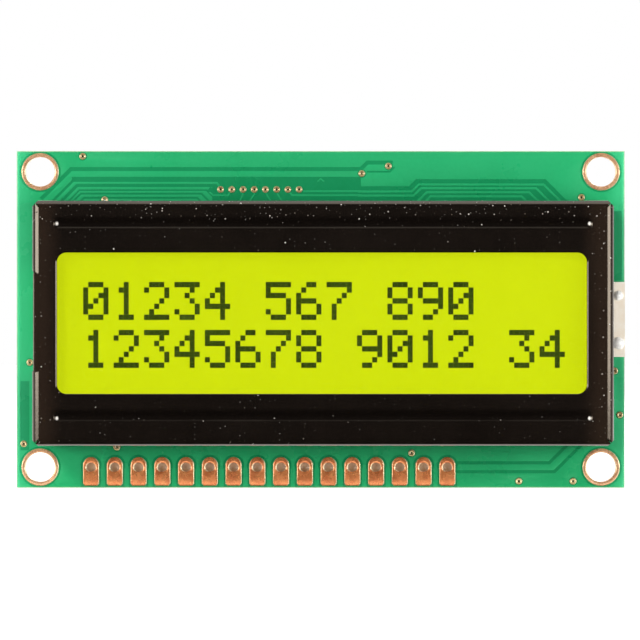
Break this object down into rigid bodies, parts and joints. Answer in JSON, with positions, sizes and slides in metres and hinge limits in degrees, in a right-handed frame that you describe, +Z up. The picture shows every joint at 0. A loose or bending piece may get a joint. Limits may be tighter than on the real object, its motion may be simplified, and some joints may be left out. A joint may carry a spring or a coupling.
{
  "type": "character lcd module",
  "caption": "Character LCD module: a green board with a folded black bezel, a yellow-green backlit display, plated mounting holes and a row of header pads.",
  "frame": {"origin": "centre of the four mounting holes, on the circuit board's back face", "axes": "+X to the right along the board as the display is read, +Y out of the board's back, +Z up as the display is read; the display faces -Y"},
  "size_m": [0.065, 0.0109, 0.036],
  "materials": {
    "board_mask": "green solder mask over glass epoxy, satin gloss",
    "bare_copper": "bare copper, lightly tarnished",
    "black_enamel": "glossy black coating on folded steel",
    "polarizer": "smooth clear film over a yellow-green display",
    "display_dots": "dark switched dots of the display",
    "cell_glass": "clear polished float glass",
    "liquid_crystal": "thin yellow-green liquid layer",
    "seal_epoxy": "cured pale epoxy",
    "elastomer": "silicone with a conductive core",
    "diffuser": "milky translucent sheet",
    "reflector": "white moulded plastic",
    "light_die": "bare light-emitting dies",
    "light_board": "beige unmasked laminate",
    "solder": "bright solder",
    "tinned_pin": "tinned wire",
    "silicon": "bare silicon chip",
    "black_resin": "cast black resin, satin",
    "resistor_body": "black overglaze",
    "capacitor_body": "tan ceramic"
  },
  "bodies": {
    "root": {"board": "board_mask", "mounting_hole_rings": "bare_copper", "header_pads": "bare_copper", "vias": "bare_copper", "terminal_lands": "bare_copper", "upper_contacts": "bare_copper", "lower_contacts": "bare_copper", "bezel": "black_enamel", "front_polarizer": "polarizer", "front_glass": "cell_glass", "edge_seal": "seal_epoxy", "liquid_crystal": "liquid_crystal", "fill_port_plug": "seal_epoxy", "rear_glass": "cell_glass", "rear_polarizer": "polarizer", "upper_elastomer_strip": "elastomer", "lower_elastomer_strip": "elastomer", "light_diffuser": "diffuser", "reflector_frame": "reflector", "backlight_leds": "light_die", "backlight_board": "light_board", "anode_pin": "tinned_pin", "cathode_pin": "tinned_pin", "anode_solder": "solder", "cathode_solder": "solder", "controller_chip": "silicon", "driver_chip": "silicon", "controller_resin": "black_resin", "driver_resin": "black_resin", "chip_resistors": "resistor_body", "chip_capacitors": "capacitor_body", "chip_end_caps": "solder", "chip_solder": "solder"}
  },
  "joints": []
}
